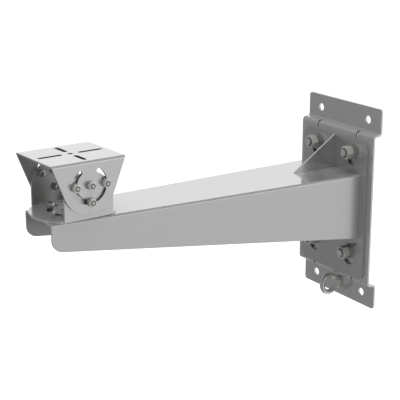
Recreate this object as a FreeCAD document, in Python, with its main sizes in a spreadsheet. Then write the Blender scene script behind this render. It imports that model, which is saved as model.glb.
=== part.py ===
import FreeCAD, Part
import math
import os
import Sketcher
from FreeCAD import Placement, Rotation, Vector

# Camera wall bracket. Millimetres, +Z up, +Y into the wall, +X along the wall.
# The origin is the centre of the four wall holes, on the wall's face.

doc = FreeCAD.newDocument("CameraWallBracket")
sheet = doc.addObject("Spreadsheet::Sheet", "Sizes")

sizes = [
    # wall plate
    ("plate_width", 170.0, "wall plate, side to side"),
    ("plate_gauge", 3.0, "wall plate's sheet"),
    ("plate_bend", 3.0, "inner bend radius of the wall plate"),
    ("plate_corner", 5.0, "corner radius of the wall plate"),
    ("standoff", 16.0, "wall to the front of the raised middle"),
    ("raised_half", 117.5, "half height of the raised middle"),
    ("joggle_rise", 1.5, "slope of each step, from the raised middle to its tab"),
    ("tab_height", 37.0, "flat tab beyond each step"),
    ("wall_hole_x", 111.0, "wall holes, side to side"),
    ("wall_hole_up", 17.2, "step to the wall holes"),
    ("wall_hole_dia", 12.0, "wall holes"),
    ("relief_x", 92.0, "relief slots, side to side"),
    ("relief_drop", 8.0, "step's top to a relief slot's end centre on the front"),
    ("relief_stop", 3.0, "inner bend to its end centre on the step"),
    ("relief_width", 3.6, "relief slot, which runs over the outer bend"),
    # flange of the arm and its bolts
    ("flange_width", 150.0, "arm flange, side to side"),
    ("flange_inset", 11.0, "top of the raised middle to the flange's top"),
    ("flange_foot", 7.5, "bottom of the raised middle to the flange's bottom"),
    ("flange_gauge", 4.0, "arm flange"),
    ("flange_corner", 12.0, "corner radius of the arm flange"),
    ("stud_x", 85.0, "flange bolts, side to side"),
    ("stud_up", 87.0, "upper flange bolts above the centre"),
    ("stud_down", 70.3, "lower flange bolts below the centre"),
    ("stud_dia", 12.0, "flange bolt"),
    ("stud_flats", 18.0, "flange bolt and nut across flats"),
    ("stud_head", 7.5, "flange bolt head"),
    ("stud_washer_dia", 24.0, "flange washer"),
    ("stud_washer", 2.5, "flange washer thickness"),
    ("stud_spring_dia", 21.0, "flange spring washer"),
    ("stud_spring", 2.5, "spring washer thickness"),
    ("stud_nut", 10.8, "flange nut"),
    ("stud_end", 2.2, "flange bolt past its nut"),
    ("keyhole_dia", 21.0, "round part of a keyhole"),
    ("keyhole_slot", 13.0, "narrow part of a keyhole"),
    ("keyhole_drop", 11.0, "bolt to the centre of the round part"),
    ("bolt_room", 0.5, "clearance round the flange bolts in the plate"),
    ("thread_room", 0.1, "clearance in every nut and washer"),
    # channel arm
    ("arm_gauge", 3.0, "arm's sheet"),
    ("arm_bend", 0.8, "inner bend radius of the arm"),
    ("arm_overhang", 49.6, "arm's front end past the pan axis"),
    ("arm_top", 55.0, "height of the arm's top face"),
    ("arm_front_width", 82.0, "arm's width at its front end"),
    ("arm_rear_width", 124.0, "arm's width at the flange"),
    ("arm_front_low", 17.4, "height of the wall's lower edge at the front"),
    ("arm_rear_low", -44.5, "height of the wall's lower edge at the flange"),
    ("arm_corner", 16.0, "front lower corner radius of the arm's walls"),
    ("gusset_gauge", 3.0, "gusset plate"),
    ("gusset_length", 77.0, "gusset along the arm"),
    # eye bolt
    ("eye_ring", 28.0, "eye ring, centre line diameter"),
    ("eye_wire", 8.0, "thickness of the eye ring"),
    ("eye_centre", 18.0, "seat to the ring's centre"),
    ("eye_collar_dia", 20.0, "eye bolt collar"),
    ("eye_collar", 6.0, "height of the collar"),
    ("eye_thread", 8.0, "eye bolt thread"),
    # head: pan axis and pan bolts
    ("reach", 524.4, "wall to the front of the yoke's base"),
    ("pan_rest", 3.12, "degrees that the head is turned in the photograph"),
    ("pan_limit", 26.0, "degrees of pan each way from straight"),
    ("pan_spare", 2.0, "degrees of slot left past the pan limit"),
    ("pan_circle", 60.0, "circle of the four pan bolts"),
    ("pan_pivot_dia", 8.0, "pan pivot bolt"),
    ("pan_pivot_flats", 13.0, "pan pivot bolt across flats"),
    ("pan_pivot_head", 5.3, "pan pivot bolt head"),
    ("pan_pivot_nut_height", 6.5, "pan pivot nut"),
    ("pan_pivot_end", 2.0, "pan pivot bolt past its nut"),
    ("pan_pivot_washer_dia", 16.0, "pan pivot washer"),
    ("pan_pivot_spring_dia", 14.8, "pan pivot spring washer"),
    ("pan_pivot_spring", 2.0, "its thickness"),
    ("pivot_fit", 0.05, "running clearance on a pivot bolt, radial"),
    # small hardware on the head
    ("screw_dia", 6.0, "pan and tilt bolts"),
    ("screw_flats", 10.0, "their nuts across flats"),
    ("screw_washer_dia", 12.0, "their washers"),
    ("screw_washer", 1.6, "washer thickness"),
    ("screw_spring_dia", 11.0, "their spring washers"),
    ("screw_spring", 1.6, "spring washer thickness"),
    ("screw_nut", 5.0, "their nuts"),
    ("pan_end", 2.2, "pan bolt past its nut"),
    ("tilt_end", 0.6, "tilt bolt past its nut"),
    ("clamp_room", 0.05, "running clearance under the clamp washers"),
    ("pan_head", 4.0, "pan bolt head under the arm"),
    ("tilt_head_dia", 10.0, "round head of a tilt bolt"),
    ("tilt_head", 6.0, "height of that head"),
    ("slot_room", 0.3, "clearance of a bolt in its slot, each side"),
    # yoke
    ("yoke_gauge", 3.0, "yoke's sheet"),
    ("yoke_bend", 1.0, "inner bend radius of the yoke"),
    ("yoke_width", 92.2, "yoke, outside of ear to outside of ear"),
    ("base_dia", 116.0, "round base of the yoke"),
    ("ear_width", 73.0, "ear, front to rear"),
    ("ear_straight", 28.0, "height of the ear's straight sides"),
    # cradle
    ("cradle_gauge", 3.0, "cradle's sheet"),
    ("cradle_bend", 0.8, "inner bend radius of the cradle"),
    ("cradle_gap", 0.3, "clearance between ear and cradle"),
    ("cradle_length", 110.4, "cradle, front to rear"),
    ("cradle_top", 79.5, "cradle's top above the arm"),
    ("pivot_up", 47.5, "tilt axis above the arm"),
    ("side_radius", 39.5, "lower outline of the cradle's side"),
    ("tilt_circle", 45.0, "circle of the tilt clamp bolts"),
    ("tilt_limit", 50.0, "degrees of tilt each way"),
    ("tilt_spare", 1.0, "degrees of slot left past the tilt limit"),
    ("camera_hole", 7.0, "centre hole of the cradle"),
    ("camera_slot", 6.6, "width of the camera slots"),
    ("slot_x_near", 11.5, "side slots, inner end from the centre"),
    ("slot_x_edge", 9.4, "side slots, outer end to the cradle's side"),
    ("slot_y_near", 12.0, "front and rear slots, inner end"),
    ("slot_y_edge", 7.2, "front and rear slots, outer end to the cradle's edge"),
]


# A size keeps its number and the words of its expression together.
class Size:
    def __init__(self, value, text):
        self.value = float(value)
        self.text = text

    def __add__(self, other):
        o = size(other)
        return Size(self.value + o.value, "(%s + %s)" % (self.text, o.text))

    def __radd__(self, other):
        return size(other) + self

    def __sub__(self, other):
        o = size(other)
        return Size(self.value - o.value, "(%s - %s)" % (self.text, o.text))

    def __rsub__(self, other):
        return size(other) - self

    def __mul__(self, other):
        o = size(other)
        return Size(self.value * o.value, "(%s * %s)" % (self.text, o.text))

    def __rmul__(self, other):
        return size(other) * self

    def __truediv__(self, other):
        o = size(other)
        return Size(self.value / o.value, "(%s / %s)" % (self.text, o.text))

    def __neg__(self):
        return Size(-self.value, "(0 - %s)" % self.text)


def size(given):
    if isinstance(given, Size):
        return given
    return Size(given, "%.10g" % given if given >= 0 else "(0 - %.10g)" % -given)


def root(given):
    return Size(given.value ** 0.5, "sqrt(%s)" % given.text)


def cos_deg(angle):
    return Size(math.cos(math.radians(angle.value)), "cos(%s * 1 deg)" % angle.text)


def sin_deg(angle):
    return Size(math.sin(math.radians(angle.value)), "sin(%s * 1 deg)" % angle.text)


class Table:
    pass


d = Table()
for row, (name, value, note) in enumerate(sizes, start=1):
    sheet.set("A%d" % row, note)
    sheet.set("B%d" % row, "%.10g" % value)
    sheet.setAlias("B%d" % row, name)
    setattr(d, name, Size(value, "Sizes." + name))
doc.recompute()

zero = size(0)
parts = []
pan_setback = d.reach - d.base_dia / 2


# Helpers: binding, placing, sketches

def bind(obj, prop, amount):
    obj.setExpression(prop, size(amount).text)


def place(obj, x=0, y=0, z=0, turn=None):
    obj.Placement = Placement(Vector(size(x).value, size(y).value, size(z).value), turn or Rotation())
    bind(obj, "Placement.Base.x", x)
    bind(obj, "Placement.Base.y", y)
    bind(obj, "Placement.Base.z", z)
    return obj


def finish(obj, label):
    obj.Label = label
    parts.append(obj)
    return obj


def new_body(name):
    return doc.addObject("PartDesign::Body", name)


def new_sketch(body, plane, offset=None):
    sketch = body.newObject("Sketcher::SketchObject", body.Name + "Sketch")
    origin = [f for f in body.Origin.OriginFeatures if f.Role == plane][0]
    sketch.AttachmentSupport = [(origin, "")]
    sketch.MapMode = "FlatFace"
    if offset is not None:
        sketch.AttachmentOffset = Placement(Vector(0, 0, size(offset).value), Rotation())
        bind(sketch, "AttachmentOffset.Base.z", offset)
    return sketch


def pin_point(sketch, geo, pos, x, y):
    x, y = size(x), size(y)
    cx = sketch.addConstraint(Sketcher.Constraint("DistanceX", -1, 1, geo, pos, x.value))
    bind(sketch, "Constraints[%d]" % cx, x)
    cy = sketch.addConstraint(Sketcher.Constraint("DistanceY", -1, 1, geo, pos, y.value))
    bind(sketch, "Constraints[%d]" % cy, y)


def add_outline(sketch, points):
    points = [(size(x), size(y)) for x, y in points]
    first = None
    for i, (x, y) in enumerate(points):
        nx, ny = points[(i + 1) % len(points)]
        line = Part.LineSegment(Vector(x.value, y.value, 0), Vector(nx.value, ny.value, 0))
        geo = sketch.addGeometry(line, False)
        if first is None:
            first = geo
        else:
            sketch.addConstraint(Sketcher.Constraint("Coincident", geo - 1, 2, geo, 1))
    sketch.addConstraint(Sketcher.Constraint("Coincident", geo, 2, first, 1))
    for i, (x, y) in enumerate(points):
        pin_point(sketch, first + i, 1, x, y)


def add_circle(sketch, x, y, dia):
    x, y, dia = size(x), size(y), size(dia)
    circle = Part.Circle(Vector(x.value, y.value, 0), Vector(0, 0, 1), dia.value / 2)
    geo = sketch.addGeometry(circle, False)
    pin_point(sketch, geo, 3, x, y)
    cd = sketch.addConstraint(Sketcher.Constraint("Diameter", geo, dia.value))
    bind(sketch, "Constraints[%d]" % cd, dia)


# A slot with round ends, upright when along is "y", between two end centres.
def add_slot(sketch, x, y, length, width, along):
    x, y, length, width = size(x), size(y), size(length), size(width)
    r = width.value / 2
    if along == "y":
        ends = [(x, y, 180, 360), (x, y + length, 0, 180)]
    else:
        ends = [(x, y, 90, 270), (x + length, y, 270, 450)]
    arcs = []
    for cx, cy, start, stop in ends:
        circle = Part.Circle(Vector(cx.value, cy.value, 0), Vector(0, 0, 1), r)
        arc = Part.ArcOfCircle(circle, math.radians(start), math.radians(stop))
        arcs.append(sketch.addGeometry(arc, False))
    low, high = arcs
    joins = []
    for a_end, b_end in ((2, 1), (1, 2)):
        a = sketch.getPoint(low, a_end)
        b = sketch.getPoint(high, b_end)
        joins.append((sketch.addGeometry(Part.LineSegment(a, b), False), a_end, b_end))
    for geo, a_end, b_end in joins:
        sketch.addConstraint(Sketcher.Constraint("Tangent", low, a_end, geo, 1))
        sketch.addConstraint(Sketcher.Constraint("Tangent", geo, 2, high, b_end))
    pin_point(sketch, low, 3, ends[0][0], ends[0][1])
    pin_point(sketch, high, 3, ends[1][0], ends[1][1])
    cr = sketch.addConstraint(Sketcher.Constraint("Radius", low, r))
    bind(sketch, "Constraints[%d]" % cr, width / 2)


def pad(body, sketch, length, midplane=False, backwards=False):
    feature = body.newObject("PartDesign::Pad", body.Name + "Pad")
    feature.Profile = sketch
    feature.Length = size(length).value
    bind(feature, "Length", length)
    feature.Midplane = midplane
    feature.Reversed = backwards
    doc.recompute()
    return feature


def cut_through(body, sketch):
    before = body.Shape.Volume
    feature = body.newObject("PartDesign::Pocket", body.Name + "Pocket")
    feature.Profile = sketch
    feature.Type = "ThroughAll"
    feature.Midplane = True
    doc.recompute()
    if body.Shape.Volume > before - 0.01:
        raise ValueError("a pocket of %s cuts nothing" % body.Name)
    return feature


# Edges of a shape that lie along a direction and pass a test on their middle.
def pick_edges(shape, direction, test, slack=0.06):
    names = []
    for i, edge in enumerate(shape.Edges, start=1):
        if edge.Curve.TypeId != "Part::GeomLine":
            continue
        way = edge.tangentAt(edge.FirstParameter)
        if way.cross(direction).Length < slack and test(edge.CenterOfMass):
            names.append("Edge%d" % i)
    if not names:
        raise ValueError("no edge found to round")
    return names


def round_edges(body, radius, direction, test):
    base = body.Tip
    feature = body.newObject("PartDesign::Fillet", body.Name + "Fillet")
    feature.Base = (base, pick_edges(base.Shape, direction, test))
    feature.Radius = size(radius).value
    bind(feature, "Radius", radius)
    doc.recompute()
    return feature


along_x, along_y, along_z = Vector(1, 0, 0), Vector(0, 1, 0), Vector(0, 0, 1)
up = Rotation()
away = Rotation(along_x, 90)          # a cylinder's length runs out from the wall, -Y
right = Rotation(along_y, 90)         # runs to +X
left = Rotation(along_y, -90)         # runs to -X
on_edge = Rotation(along_z, 90) * Rotation(along_x, 90)    # runs to +X, its own +Y pointing up


def near(a, b, slack=0.2):
    return abs(a - size(b).value) < slack


# Round and hexagonal solids for the fasteners and cutters

def rod(dia, length, x, y, z, turn=up, sweep=None):
    obj = doc.addObject("Part::Cylinder", "Rod")
    obj.Radius = size(dia).value / 2
    obj.Height = size(length).value
    bind(obj, "Radius", size(dia) / 2)
    bind(obj, "Height", length)
    if sweep is not None:
        bind(obj, "Angle", sweep)
    return place(obj, x, y, z, turn)


def hexagon(flats, length, x, y, z, turn=up):
    obj = doc.addObject("Part::Prism", "Hexagon")
    obj.Polygon = 6
    corner = size(flats) / root(size(3))
    obj.Circumradius = corner.value
    obj.Height = size(length).value
    bind(obj, "Circumradius", corner)
    bind(obj, "Height", length)
    return place(obj, x, y, z, turn)


def block(length, width, height, x, y, z):
    obj = doc.addObject("Part::Box", "Block")
    bind(obj, "Length", length)
    bind(obj, "Width", width)
    bind(obj, "Height", height)
    return place(obj, x, y, z)


def fuse(pieces, refine=True):
    obj = doc.addObject("Part::MultiFuse", "Fused")
    obj.Shapes = pieces
    obj.Refine = refine
    return obj


def cut(base, tools):
    doc.recompute()
    before = base.Shape.Volume
    tool = tools[0] if len(tools) == 1 else fuse(tools)
    obj = doc.addObject("Part::Cut", "CutShape")
    obj.Base = base
    obj.Tool = tool
    obj.Refine = True
    doc.recompute()
    if obj.Shape.Volume > before - 0.01:
        raise ValueError("a cut of %s takes nothing away" % base.Name)
    return obj


def common(first, second):
    obj = doc.addObject("Part::MultiCommon", "Shared")
    obj.Shapes = [first, second]
    obj.Refine = True
    return obj


def group(pieces):
    obj = doc.addObject("Part::Compound", "Group")
    obj.Links = pieces
    return obj


# A ring washer or the bore of a nut is a rod taken from a rod or hexagon.
def with_bore(outer, bore, length, x, y, z, turn):
    obj = doc.addObject("Part::Cut", "Bored")
    obj.Base = outer
    obj.Tool = rod(bore, length, x, y, z, turn)
    return obj


# Wall plate: one folded sheet, tabs on the wall above and below a raised middle

front = d.standoff
back = d.standoff - d.plate_gauge
joggle_outer = d.raised_half + d.joggle_rise
plate_half = joggle_outer + d.tab_height
wall_hole_z = joggle_outer + d.wall_hole_up
slope = root(back * back + d.joggle_rise * d.joggle_rise)
setback = d.plate_gauge * (slope - d.joggle_rise) / back

wall_plate = new_body("WallPlate")
profile = new_sketch(wall_plate, "YZ_Plane")
stepped = [
    (zero, plate_half),
    (-d.plate_gauge, plate_half),
    (-d.plate_gauge, joggle_outer),
    (-front, d.raised_half),
    (-front, -d.raised_half),
    (-d.plate_gauge, -joggle_outer),
    (-d.plate_gauge, -plate_half),
    (zero, -plate_half),
    (zero, -(joggle_outer - setback)),
    (-back, -(d.raised_half - setback)),
    (-back, d.raised_half - setback),
    (zero, joggle_outer - setback),
]
add_outline(profile, stepped)
pad(wall_plate, profile, d.plate_width, midplane=True)

inner_bends = [(-d.plate_gauge, joggle_outer), (-back, d.raised_half - setback)]
outer_bends = [(zero, joggle_outer - setback), (-front, d.raised_half)]
for bends, radius in ((inner_bends, d.plate_bend), (outer_bends, d.plate_bend + d.plate_gauge)):
    round_edges(wall_plate, radius, along_x, lambda c: any(
        near(c.y, y) and near(abs(c.z), z) for y, z in bends))
round_edges(wall_plate, d.plate_corner, along_y, lambda c: near(abs(c.z), plate_half))

holes = new_sketch(wall_plate, "XZ_Plane")
for side in (-1, 1):
    for end in (-1, 1):
        add_circle(holes, side * d.wall_hole_x / 2, end * wall_hole_z, d.wall_hole_dia)
    for height in (d.stud_up, -d.stud_down):
        add_circle(holes, side * d.stud_x / 2, height, d.stud_dia + 2 * d.bolt_room)
add_circle(holes, zero, -wall_hole_z, d.eye_thread)
cut_through(wall_plate, holes)

# Each relief slot runs from the front over the outer bend onto the step, with round ends.
relief_z = d.raised_half - d.relief_drop
relief_y = d.plate_gauge + d.plate_bend + d.relief_stop
over = d.joggle_rise + 1
relief_cutters = []
for side in (-1, 1):
    x = side * d.relief_x / 2
    for end in (-1, 1):
        low = relief_z if end == 1 else -(d.raised_half + over)
        relief_cutters.append(block(d.relief_width, front + 1 - relief_y, d.relief_drop + over,
                                    x - d.relief_width / 2, -(front + 1), low))
        relief_cutters.append(rod(d.relief_width, d.plate_gauge + 2, x, -(back - 1), end * relief_z, away))
        low = d.raised_half - d.plate_gauge - 1 if end == 1 else -(d.raised_half + over)
        relief_cutters.append(rod(d.relief_width, d.plate_gauge + 1 + over, x, -relief_y, low))
finish(cut(wall_plate, relief_cutters), "wall_plate")

# Flange of the arm: a plate with four keyholes that hook over the bolts

flange_face = d.standoff + d.flange_gauge
flange_top = d.raised_half - d.flange_inset
flange_low = d.flange_foot - d.raised_half
arm_flange = new_body("ArmFlange")
outline = new_sketch(arm_flange, "XZ_Plane", d.standoff)
add_outline(outline, [
    (-d.flange_width / 2, flange_low),
    (d.flange_width / 2, flange_low),
    (d.flange_width / 2, flange_top),
    (-d.flange_width / 2, flange_top),
])
pad(arm_flange, outline, d.flange_gauge)
round_edges(arm_flange, d.flange_corner, along_y, lambda c: near(abs(c.x), d.flange_width / 2))
rounds = new_sketch(arm_flange, "XZ_Plane")
for side in (-1, 1):
    for height in (d.stud_up, -d.stud_down):
        add_circle(rounds, side * d.stud_x / 2, height - d.keyhole_drop, d.keyhole_dia)
cut_through(arm_flange, rounds)
necks = new_sketch(arm_flange, "XZ_Plane")
for side in (-1, 1):
    for height in (d.stud_up, -d.stud_down):
        add_slot(necks, side * d.stud_x / 2, height - d.keyhole_drop, d.keyhole_drop, d.keyhole_slot, "y")
cut_through(arm_flange, necks)
finish(arm_flange, "arm_flange")

# Channel arm: one folded sheet, open below, widening and deepening to the flange


def plan_outline(sketch, narrower):
    front_half = d.arm_front_width / 2 - narrower
    rear_half = d.arm_rear_width / 2 - narrower
    add_outline(sketch, [
        (-front_half, -arm_reach), (front_half, -arm_reach),
        (rear_half, -flange_face), (-rear_half, -flange_face),
    ])


arm_channel = new_body("ArmChannel")
arm_reach = pan_setback + d.arm_overhang
arm_depth = d.arm_top - d.arm_rear_low
outside = new_sketch(arm_channel, "XY_Plane", d.arm_top)
plan_outline(outside, zero)
pad(arm_channel, outside, arm_depth, backwards=True)
inside = new_sketch(arm_channel, "XY_Plane", d.arm_top - d.arm_gauge)
plan_outline(inside, d.arm_gauge)
hollow = arm_channel.newObject("PartDesign::Pocket", "ArmHollow")
hollow.Profile = inside
hollow.Length = arm_depth.value
bind(hollow, "Length", arm_depth)
doc.recompute()
slant = new_sketch(arm_channel, "YZ_Plane")
add_outline(slant, [
    (-arm_reach, d.arm_front_low), (-arm_reach, d.arm_rear_low - d.arm_gauge),
    (-flange_face, d.arm_rear_low - d.arm_gauge), (-flange_face, d.arm_rear_low),
])
cut_through(arm_channel, slant)
round_edges(arm_channel, d.arm_corner, along_x,
            lambda c: near(c.y, -arm_reach) and near(c.z, d.arm_front_low))
round_edges(arm_channel, d.arm_bend, along_y, lambda c: near(c.z, d.arm_top - d.arm_gauge))
round_edges(arm_channel, d.arm_bend + d.arm_gauge, along_y, lambda c: near(c.z, d.arm_top))
web_holes = new_sketch(arm_channel, "XY_Plane")
bolt_offset = d.pan_circle / 2 / root(size(2))
for side in (-1, 1):
    for end in (-1, 1):
        add_circle(web_holes, side * bolt_offset, end * bolt_offset - pan_setback,
                   d.screw_dia + 2 * d.thread_room)
add_circle(web_holes, zero, -pan_setback, d.pan_pivot_dia + 2 * d.thread_room)
cut_through(arm_channel, web_holes)
finish(arm_channel, "arm_channel")

# Gusset: triangular plate standing on the arm against the flange

arm_gusset = new_body("ArmGusset")
triangle = new_sketch(arm_gusset, "YZ_Plane")
add_outline(triangle, [
    (-(flange_face + d.gusset_length), d.arm_top),
    (-flange_face, d.arm_top),
    (-flange_face, flange_top),
])
pad(arm_gusset, triangle, d.gusset_gauge, midplane=True)
finish(arm_gusset, "arm_gusset")

# Flange bolts with their washers, spring washers and nuts

studs = []
stud_washers = []
stud_springs = []
stud_nuts = []
stud_length = (d.plate_gauge + d.flange_gauge + d.stud_washer + d.stud_spring
               + d.stud_nut + d.stud_end)
for side in (-1, 1):
    for height in (d.stud_up, -d.stud_down):
        x = side * d.stud_x / 2
        head = hexagon(d.stud_flats, d.stud_head, x, d.stud_head - back, height, away)
        shank = rod(d.stud_dia, stud_length, x, -back, height, away)
        studs.append(fuse([head, shank]))
        seat = -flange_face
        bore = d.stud_dia + 2 * d.thread_room
        ring = rod(d.stud_washer_dia, d.stud_washer, x, seat, height, away)
        stud_washers.append(with_bore(ring, bore, d.stud_washer, x, seat, height, away))
        seat = seat - d.stud_washer
        ring = rod(d.stud_spring_dia, d.stud_spring, x, seat, height, away)
        stud_springs.append(with_bore(ring, bore, d.stud_spring, x, seat, height, away))
        seat = seat - d.stud_spring
        nut = hexagon(d.stud_flats, d.stud_nut, x, seat, height, away)
        stud_nuts.append(with_bore(nut, bore, d.stud_nut, x, seat, height, away))
finish(group(studs), "flange_bolts")
finish(group(stud_washers), "flange_washers")
finish(group(stud_springs), "flange_spring_washers")
finish(group(stud_nuts), "flange_nuts")

# Eye bolt for the safety wire, in the lower tab

eye_z = -wall_hole_z
ring = doc.addObject("Part::Torus", "EyeRing")
bind(ring, "Radius1", d.eye_ring / 2)
bind(ring, "Radius2", d.eye_wire / 2)
place(ring, 0, -(d.plate_gauge + d.eye_centre), eye_z, right)
collar = rod(d.eye_collar_dia, d.eye_collar, 0, -d.plate_gauge, eye_z, away)
thread = rod(d.eye_thread, d.plate_gauge, 0, 0, eye_z, away)
finish(fuse([ring, collar, thread]), "eye_bolt")

# Pan bolts, up through the arm and the curved slots of the yoke

pan_bolts = []
pan_washers = []
pan_springs = []
pan_nuts = []
under_web = d.arm_top - d.arm_gauge
pan_seat = d.arm_top + d.yoke_gauge
screw_length = (d.arm_gauge + d.yoke_gauge + d.screw_washer + d.screw_spring
                + d.screw_nut + d.pan_end)
screw_bore = d.screw_dia + 2 * d.thread_room
for side in (-1, 1):
    for end in (-1, 1):
        x = side * bolt_offset
        y = end * bolt_offset - pan_setback
        head = hexagon(d.screw_flats, d.pan_head, x, y, under_web - d.pan_head)
        shank = rod(d.screw_dia, screw_length, x, y, under_web)
        pan_bolts.append(fuse([head, shank]))
        ring = rod(d.screw_washer_dia, d.screw_washer, x, y, pan_seat)
        pan_washers.append(with_bore(ring, screw_bore, d.screw_washer, x, y, pan_seat, up))
        spring_seat = pan_seat + d.screw_washer
        ring = rod(d.screw_spring_dia, d.screw_spring, x, y, spring_seat)
        pan_springs.append(with_bore(ring, screw_bore, d.screw_spring, x, y, spring_seat, up))
        nut_seat = spring_seat + d.screw_spring
        nut = hexagon(d.screw_flats, d.screw_nut, x, y, nut_seat)
        pan_nuts.append(with_bore(nut, screw_bore, d.screw_nut, x, y, nut_seat, up))
finish(group(pan_bolts), "pan_bolts")
finish(group(pan_washers), "pan_washers")
finish(group(pan_springs), "pan_spring_washers")
finish(group(pan_nuts), "pan_nuts")

# Pan pivot bolt with its washer, spring washer and nut

pivot_y = -pan_setback
pivot_bore = d.pan_pivot_dia + 2 * d.thread_room
pivot_length = (d.arm_gauge + d.yoke_gauge + d.screw_washer + d.pan_pivot_spring
                + d.pan_pivot_nut_height + d.pan_pivot_end)
head = hexagon(d.pan_pivot_flats, d.pan_pivot_head, 0, pivot_y, under_web - d.pan_pivot_head)
shank = rod(d.pan_pivot_dia, pivot_length, 0, pivot_y, under_web)
finish(fuse([head, shank]), "pan_pivot_bolt")
ring = rod(d.pan_pivot_washer_dia, d.screw_washer, 0, pivot_y, pan_seat)
finish(with_bore(ring, pivot_bore, d.screw_washer, 0, pivot_y, pan_seat, up), "pan_pivot_washer")
spring_seat = pan_seat + d.screw_washer
ring = rod(d.pan_pivot_spring_dia, d.pan_pivot_spring, 0, pivot_y, spring_seat)
finish(with_bore(ring, pivot_bore, d.pan_pivot_spring, 0, pivot_y, spring_seat, up),
       "pan_pivot_spring_washer")
nut_seat = spring_seat + d.pan_pivot_spring
nut = hexagon(d.pan_pivot_flats, d.pan_pivot_nut_height, 0, pivot_y, nut_seat)
finish(with_bore(nut, pivot_bore, d.pan_pivot_nut_height, 0, pivot_y, nut_seat, up), "pan_pivot_nut")

# The head's pieces are drawn straight, about the pan axis on the arm's top face,
# and are then turned together by pan_rest.


def place_head(obj):
    obj.Placement = Placement(Vector(0, -pan_setback.value, d.arm_top.value),
                              Rotation(along_z, d.pan_rest.value))
    bind(obj, "Placement.Base.y", -pan_setback)
    bind(obj, "Placement.Base.z", d.arm_top)
    bind(obj, "Placement.Rotation.Angle", d.pan_rest)
    return obj


# A slot along an arc: part of a ring with two round ends. Angles in degrees from +X.
def arc_slot(circle_dia, width, start, sweep, height):
    outer = rod(circle_dia + width, height, 0, 0, 0, up, sweep)
    inner = rod(circle_dia - width, height, 0, 0, 0)
    sector = doc.addObject("Part::Cut", "Sector")
    sector.Base = outer
    sector.Tool = inner
    first_end = rod(width, height, circle_dia / 2, 0, 0)
    last_end = rod(width, height, circle_dia / 2 * cos_deg(sweep), circle_dia / 2 * sin_deg(sweep), 0)
    whole = fuse([sector, first_end, last_end])
    whole.Placement = Placement(Vector(), Rotation(along_z, start.value))
    bind(whole, "Placement.Rotation.Angle", start)
    return whole


# Yoke: one folded sheet, a round base with two ears

yoke_half = d.yoke_width / 2
ear_inner = yoke_half - d.yoke_gauge
yoke_fold = new_body("YokeFold")
fold = new_sketch(yoke_fold, "XZ_Plane")
add_outline(fold, [
    (-yoke_half, zero), (yoke_half, zero), (yoke_half, d.ear_straight), (ear_inner, d.ear_straight),
    (ear_inner, d.yoke_gauge), (-ear_inner, d.yoke_gauge), (-ear_inner, d.ear_straight),
    (-yoke_half, d.ear_straight),
])
pad(yoke_fold, fold, d.ear_width, midplane=True)
round_edges(yoke_fold, d.yoke_bend, along_y, lambda c: near(c.z, d.yoke_gauge))
round_edges(yoke_fold, d.yoke_bend + d.yoke_gauge, along_y, lambda c: near(c.z, 0))

flat_half = ear_inner - d.yoke_bend
disc = rod(d.base_dia, d.yoke_gauge, 0, 0, 0)
strip = block(2 * flat_half, d.base_dia, d.yoke_gauge, -flat_half, -d.base_dia / 2, 0)
base_plate = common(disc, strip)
ear_tops = []
for side in (-1, 1):
    start = ear_inner if side == 1 else -yoke_half
    # half a disc standing on the ear's straight sides
    half_disc = rod(d.ear_width, d.yoke_gauge, start, 0, d.ear_straight,
                    on_edge, size(180))
    ear_tops.append(half_disc)
yoke_blank = fuse([yoke_fold, base_plate] + ear_tops)

pan_half_span = d.pan_limit + d.pan_spare
pan_slot_width = d.screw_dia + 2 * d.slot_room
pan_cutters = [rod(d.pan_pivot_dia + 2 * d.pivot_fit, d.yoke_gauge, 0, 0, 0)]
for quarter in range(4):
    pan_cutters.append(arc_slot(d.pan_circle, pan_slot_width, 45 + 90 * quarter - pan_half_span,
                                2 * pan_half_span, d.yoke_gauge))
ear_bore = d.screw_dia + 2 * d.thread_room
clamp = d.tilt_circle / 2
clamp_spots = [(clamp, d.pivot_up), (-clamp, d.pivot_up), (zero, d.pivot_up - clamp)]
ear_cutters = []
for y, z in clamp_spots + [(zero, d.pivot_up)]:
    ear_cutters.append(rod(ear_bore, d.yoke_width, -yoke_half, y, z, right))
yoke = cut(yoke_blank, pan_cutters + ear_cutters)
finish(place_head(yoke), "yoke")

# Tilt pivot and clamp bolts: round heads inside the ears, nuts outside the cradle

cradle_inner = yoke_half + d.cradle_gap
cradle_half = cradle_inner + d.cradle_gauge


def tilt_hardware(spots, label, room):
    bolts = []
    washers = []
    springs = []
    nuts = []
    length = (d.yoke_gauge + d.cradle_gap + d.cradle_gauge + room + d.screw_washer
              + d.screw_spring + d.screw_nut + d.tilt_end)
    for side, turn in ((1, right), (-1, left)):
        for y, z in spots:
            head = rod(d.tilt_head_dia, d.tilt_head, side * (ear_inner - d.tilt_head), y, z, turn)
            shank = rod(d.screw_dia, length, side * ear_inner, y, z, turn)
            bolts.append(fuse([head, shank]))
            seat = side * (cradle_half + room)
            ring = rod(d.screw_washer_dia, d.screw_washer, seat, y, z, turn)
            washers.append(with_bore(ring, ear_bore, d.screw_washer, seat, y, z, turn))
            seat = side * (cradle_half + room + d.screw_washer)
            ring = rod(d.screw_spring_dia, d.screw_spring, seat, y, z, turn)
            springs.append(with_bore(ring, ear_bore, d.screw_spring, seat, y, z, turn))
            seat = side * (cradle_half + room + d.screw_washer + d.screw_spring)
            # a corner of each nut points to the front
            nut = hexagon(d.screw_flats, d.screw_nut, seat, y, z, turn * Rotation(along_z, 30))
            nuts.append(with_bore(nut, ear_bore, d.screw_nut, seat, y, z, turn))
    finish(place_head(group(bolts)), label + "_bolts")
    finish(place_head(group(washers)), label + "_washers")
    finish(place_head(group(springs)), label + "_spring_washers")
    finish(place_head(group(nuts)), label + "_nuts")


tilt_hardware([(zero, d.pivot_up)], "tilt_pivot", zero)
tilt_hardware(clamp_spots, "tilt_clamp", d.clamp_room)

# Cradle: one folded sheet, a slotted top and two side plates

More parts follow.
